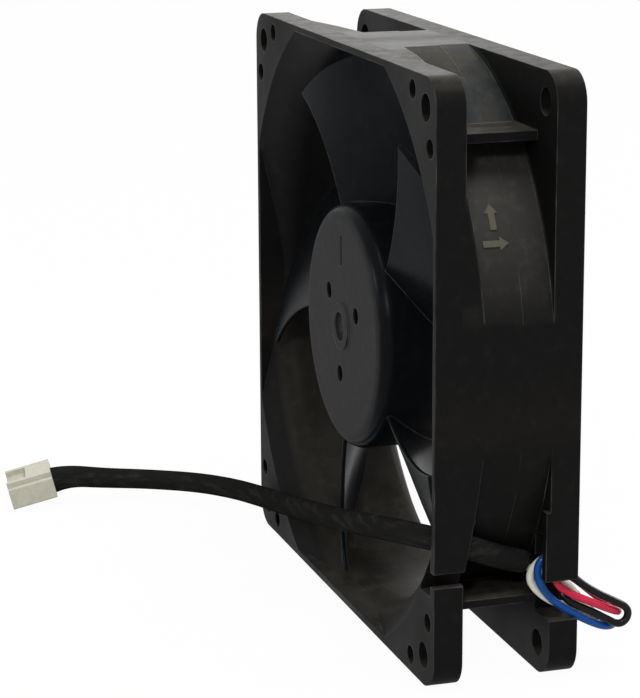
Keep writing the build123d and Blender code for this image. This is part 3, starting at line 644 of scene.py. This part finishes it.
def pale_floor():
    """White floor that keeps a faint shadow"""
    shader = Shader("floor_white", FLOOR_ROUGHNESS)
    shader.bsdf.inputs["Base Color"].default_value = FLOOR_GREY
    shader.bsdf.inputs["Specular IOR Level"].default_value = FLOOR_SPECULAR
    glow = shader.nodes.new("ShaderNodeEmission")
    share = shader.nodes.new("ShaderNodeMath")
    share.operation = "MULTIPLY"
    share.inputs[1].default_value = FLOOR_GLOW
    shader.links.new(seen_or_mirrored(shader.nodes, shader.links), share.inputs[0])
    mix = shader.nodes.new("ShaderNodeMixShader")
    shader.links.new(share.outputs[0], mix.inputs[0])
    shader.links.new(shader.bsdf.outputs[0], mix.inputs[1])
    shader.links.new(glow.outputs[0], mix.inputs[2])
    shader.links.new(mix.outputs[0], shader.nodes["Material Output"].inputs["Surface"])
    return shader.material


def pale_world(scene):
    """White where it is seen, dim where it lights the fan"""
    world = bpy.data.worlds.new("pale_world")
    world.use_nodes = True
    nodes, links = world.node_tree.nodes, world.node_tree.links
    dim, bright = nodes["Background"], nodes.new("ShaderNodeBackground")
    for background, strength in ((dim, WORLD_STRENGTH), (bright, 1.0)):
        background.inputs["Color"].default_value = WORLD_WHITE
        background.inputs["Strength"].default_value = strength
    mix = nodes.new("ShaderNodeMixShader")
    links.new(seen_or_mirrored(nodes, links), mix.inputs[0])
    links.new(dim.outputs[0], mix.inputs[1])
    links.new(bright.outputs[0], mix.inputs[2])
    links.new(mix.outputs[0], nodes["World Output"].inputs["Surface"])
    scene.world = world


def duct_outside(shader):
    """1 on the outer half of the duct's wall"""
    reach, depth = shader.from_shaft(), shader.axis("Y")
    return shader.all_of(
        shader.before(reach, DUCT_OUTER_REACH), shader.after(reach, DUCT_INNER_REACH),
        shader.after(depth, DUCT_FRONT_DEPTH), shader.before(depth, DUCT_REAR_DEPTH),
    )


def polished_and_lit_duct(shader):
    """The duct's outer wall is smoother than the flanges, and high up it has painted light, a paler colour
    where light falls on it, which fades out downwards into the frame's flat side
    """
    return shader.all_of(duct_outside(shader), shader.after(shader.axis("Z"), DUCT_LIT_HEIGHT)), *DUCT_LIT_FINISH


def shaded_duct_top(shader):
    """Painted shade: high on the duct, under the upper rib, the colour is bluer and darker"""
    return shader.all_of(duct_outside(shader), shader.after(shader.axis("Z"), COOL_SHADE_HEIGHT)), *COOL_SHADE_FINISH


def lit_bore(shader):
    """Painted warm light on the low part of the duct's bore"""
    reach = shader.from_shaft()
    share = shader.all_of(
        shader.after(reach, LIT_BORE_INNER_REACH), shader.before(reach, LIT_BORE_OUTER_REACH),
        shader.before(shader.axis("Z"), LIT_BORE_HEIGHT),
    )
    return share, *LIT_BORE_FINISH


def dusty_and_lit_tops(shader):
    """Fine warm dust on what faces up, together with painted light that makes up-facing surfaces paler"""
    patches = shader.ramp(shader.noise(**SETTLED), SETTLED_LEAST, 1.0, SETTLED_SPAN)
    return shader.all_of(shader.after(shader.facing("Z"), DUSTY_AND_LIT_FACING), patches), *DUST_AND_LIGHT_FINISH


def highlit_arrows(shader):
    """Painted highlight on the tops of the two direction arrows"""
    reach, depth = shader.from_shaft(), shader.axis("Y")
    share = shader.all_of(
        shader.after(reach, ARROW_INNER_REACH), shader.before(reach, ARROW_OUTER_REACH),
        shader.before(shader.axis("X"), ARROW_SIDE),
        shader.after(depth, ARROW_FRONT_DEPTH), shader.before(depth, ARROW_REAR_DEPTH),
    )
    return share, *ARROW_HIGHLIGHT_FINISH


def worn_and_highlit_edges(shader):
    """Edges pale and smooth in patches: partly wear, partly painted highlight"""
    patches = shader.ramp(shader.noise(**PALE_EDGE_PATCHES), PALE_EDGE_LEAST, 1.0, PALE_EDGE_SPAN)
    return shader.all_of(shader.on_edges(PALE_EDGE_WIDTH), patches), *EDGE_WEAR_AND_HIGHLIGHT_FINISH


def hub_face(shader):
    """The hub's flat face and its centre have a fine matt grain and a paler colour, partly painted sheen"""
    face = shader.before(shader.axis("Y"), HUB_FACE_DEPTH)
    centre = shader.before(shader.from_shaft(), HUB_RING_REACH)
    return shader.any_of(face, centre), *HUB_FACE_FINISH


class FAN_OT_stage(bpy.types.Operator):
    """Adds the pale floor and world, the soft lamps and the camera"""

    bl_idname = "fan.stage"
    bl_label = "Stage"

    def execute(self, context):
        scene = context.scene
        add_floor(scene, scene.fan_sizes.floor_size / 2)
        pale_world(scene)
        for lamp in LAMPS:
            add_lamp(scene, *lamp)
        add_camera(scene)
        return {"FINISHED"}


class FAN_OT_cable(bpy.types.Operator):
    """Draws the four leads and their sleeve, and finishes the plug"""

    bl_idname = "fan.cable"
    bl_label = "Leads, sleeve and plug"

    def execute(self, context):
        sizes, colours = context.scene.fan_sizes, context.scene.fan_colours
        plug = finish_node("connector_housing", smooth_plastic("plug_nylon", colours.plug, PLUG_ROUGHNESS))
        contacts = finish_node("connector_contacts", turned_metal("contact_tin", *CONTACT_TIN))
        sleeve_look = scuffed_sleeve("sleeve_soft", colours.sleeve)
        sleeve, total = round_cord("cable_sleeve_cord", SLEEVE_ROUTE, sizes.sleeve_diameter, sleeve_look,
                                   "cable_sleeve", flare=SLEEVE_FLARE)
        for name, route in LEADS.items():
            look = smooth_plastic(name + "_insulation", getattr(colours, name), LEAD_ROUGHNESS,
                                  specular=LEAD_SPECULAR)
            lead, total = round_cord(name + "_cord", route, sizes.lead_diameter, look, name)
        return {"FINISHED"}


class FAN_OT_frame(bpy.types.Operator):
    """Finishes the moulded frame"""

    bl_idname = "fan.frame"
    bl_label = "Frame"

    def execute(self, context):
        sizes, colours = context.scene.fan_sizes, context.scene.fan_colours
        areas = (polished_and_lit_duct, shaded_duct_top, lit_bore, dusty_and_lit_tops, highlit_arrows, worn_and_highlit_edges)
        look = moulded_plastic("frame_plastic", colours.frame_plastic, FRAME_ROUGHNESS,
                               sizes.edge_softness, FRAME_GRAIN, areas)
        finish_node("frame_housing", look)
        return {"FINISHED"}


class FAN_OT_impeller(bpy.types.Operator):
    """Finishes the hub and blades"""

    bl_idname = "fan.impeller"
    bl_label = "Impeller"

    def execute(self, context):
        sizes, colours = context.scene.fan_sizes, context.scene.fan_colours
        look = moulded_plastic("impeller_plastic", colours.impeller_plastic, IMPELLER_ROUGHNESS,
                               sizes.edge_softness, IMPELLER_GRAIN, (hub_face, worn_and_highlit_edges))
        finish_node("impeller", look)
        return {"FINISHED"}


class FAN_OT_motor(bpy.types.Operator):
    """Finishes the motor, the bearings and the circuit board"""

    bl_idname = "fan.motor"
    bl_label = "Motor"

    def execute(self, context):
        looks = {name: turned_metal(name, *finish) for name, finish in MOTOR_METALS.items()}
        looks.update((name, smooth_plastic(name, *finish)) for name, finish in MOTOR_PLASTICS.items())
        for node, slot in SLOT_OF.items():
            if slot in MOTOR_FINISHES:
                finish_node(node, looks[MOTOR_FINISHES[slot]])
        return {"FINISHED"}


class FAN_PT_panel(bpy.types.Panel):
    """Lists the fan's sizes, colours and pieces"""

    bl_label = "Fan"
    bl_idname = "FAN_PT_panel"
    bl_space_type = "VIEW_3D"
    bl_region_type = "UI"
    bl_category = "Fan"

    def draw(self, context):
        for group in (context.scene.fan_sizes, context.scene.fan_colours):
            for name in group.__annotations__:
                self.layout.prop(group, name)
        for operator in OPERATORS:
            self.layout.operator(operator.bl_idname)


OPERATORS = (FAN_OT_stage, FAN_OT_cable, FAN_OT_frame, FAN_OT_impeller, FAN_OT_motor)
CLASSES = (FanSizes, FanColours) + OPERATORS + (FAN_PT_panel,)


def register():
    for cls in CLASSES:
        bpy.utils.register_class(cls)
    bpy.types.Scene.fan_sizes = bpy.props.PointerProperty(type=FanSizes)
    bpy.types.Scene.fan_colours = bpy.props.PointerProperty(type=FanColours)


def unregister():
    del bpy.types.Scene.fan_colours
    del bpy.types.Scene.fan_sizes
    for cls in reversed(CLASSES):
        bpy.utils.unregister_class(cls)


def main():
    register()
    bpy.context.scene.view_settings.view_transform = "Standard"
    bpy.ops.fan.stage()
    bpy.ops.fan.cable()
    bpy.ops.fan.frame()
    bpy.ops.fan.impeller()
    bpy.ops.fan.motor()


if __name__ == "__main__":
    main()
